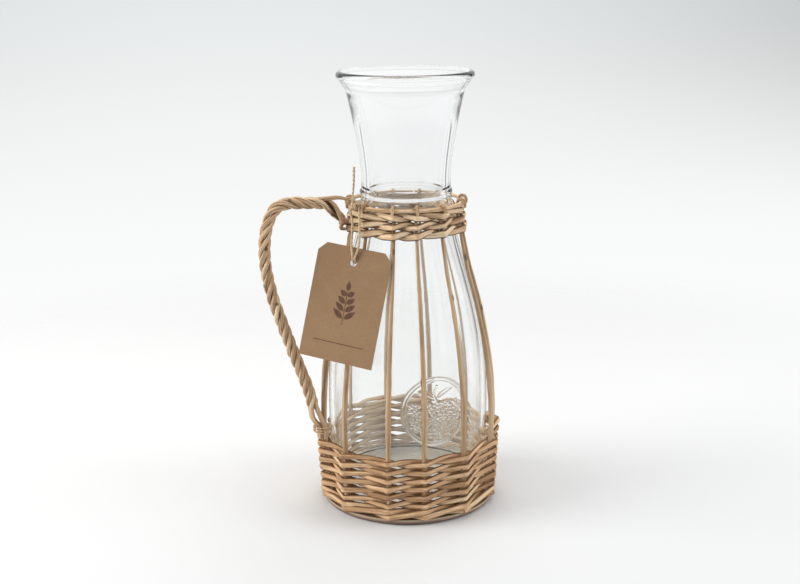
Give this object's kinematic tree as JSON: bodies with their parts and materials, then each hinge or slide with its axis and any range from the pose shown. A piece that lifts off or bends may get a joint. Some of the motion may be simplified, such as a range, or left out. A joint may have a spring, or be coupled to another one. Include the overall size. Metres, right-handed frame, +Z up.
{
  "type": "wicker-covered wine carafe",
  "caption": "Flared clear glass carafe in an open willow jacket, with a woven foot basket, a woven collar, a twisted rod handle and a hang tag on twine.",
  "frame": {"origin": "middle of the base board's underside, on the carafe's axis", "axes": "+Z up along the carafe's axis; -Y to the front as pictured; the handle stands out towards -X"},
  "size_m": [0.1488, 0.1164, 0.2714],
  "materials": {
    "clear_glass": "clear, smooth",
    "peeled_willow": "dry peeled willow rods",
    "split_cane": "split cane",
    "pale_plywood": "raw plywood",
    "brown_card": "uncoated kraft card",
    "jute_twine": "twisted jute"
  },
  "bodies": {
    "carafe": {"glass_carafe": "clear_glass", "base_board": "pale_plywood", "stake_01": "peeled_willow", "stake_02": "peeled_willow", "stake_03": "peeled_willow", "stake_04": "peeled_willow", "stake_05": "peeled_willow", "stake_06": "peeled_willow", "stake_07": "peeled_willow", "stake_08": "peeled_willow", "stake_09": "peeled_willow", "stake_10": "peeled_willow", "stake_11": "peeled_willow", "stake_12": "peeled_willow", "foot_wale_a": "peeled_willow", "foot_wale_b": "peeled_willow", "foot_wale_c": "peeled_willow", "basket_row_1a": "peeled_willow", "basket_row_1b": "peeled_willow", "basket_row_2a": "peeled_willow", "basket_row_2b": "peeled_willow", "basket_row_3a": "peeled_willow", "basket_row_3b": "peeled_willow", "basket_row_4a": "peeled_willow", "basket_row_4b": "peeled_willow", "basket_row_5a": "peeled_willow", "basket_row_5b": "peeled_willow", "basket_row_6a": "peeled_willow", "basket_row_6b": "peeled_willow", "basket_top_row_a": "peeled_willow", "basket_top_row_b": "peeled_willow", "border_rod": "peeled_willow", "collar_row_1a": "peeled_willow", "collar_row_1b": "peeled_willow", "collar_row_2a": "peeled_willow", "collar_row_2b": "peeled_willow", "collar_row_3a": "peeled_willow", "collar_row_3b": "peeled_willow", "handle_rod_1": "peeled_willow", "handle_rod_2": "peeled_willow", "handle_rod_3": "peeled_willow", "handle_rod_4": "peeled_willow", "foot_lashing": "split_cane", "collar_knot": "jute_twine"},
    "string": {"tag_string_left": "jute_twine", "tag_string_right": "jute_twine", "stop_knot": "jute_twine"},
    "tag": {"hang_tag": "brown_card"}
  },
  "joints": [
    {"name": "string_swing", "type": "hinge", "parent": "carafe", "child": "string", "pos_m": [-0.03075, -0.02385, 0.19312], "axis": [-0.9397, 0.342, 0], "range_deg": [0, 70]},
    {"name": "tag_turn", "type": "hinge", "parent": "string", "child": "tag", "pos_m": [-0.032, -0.03007, 0.1602], "axis": [-0.3314, -0.9106, 0.247], "range_deg": [-9, 25]}
  ]
}
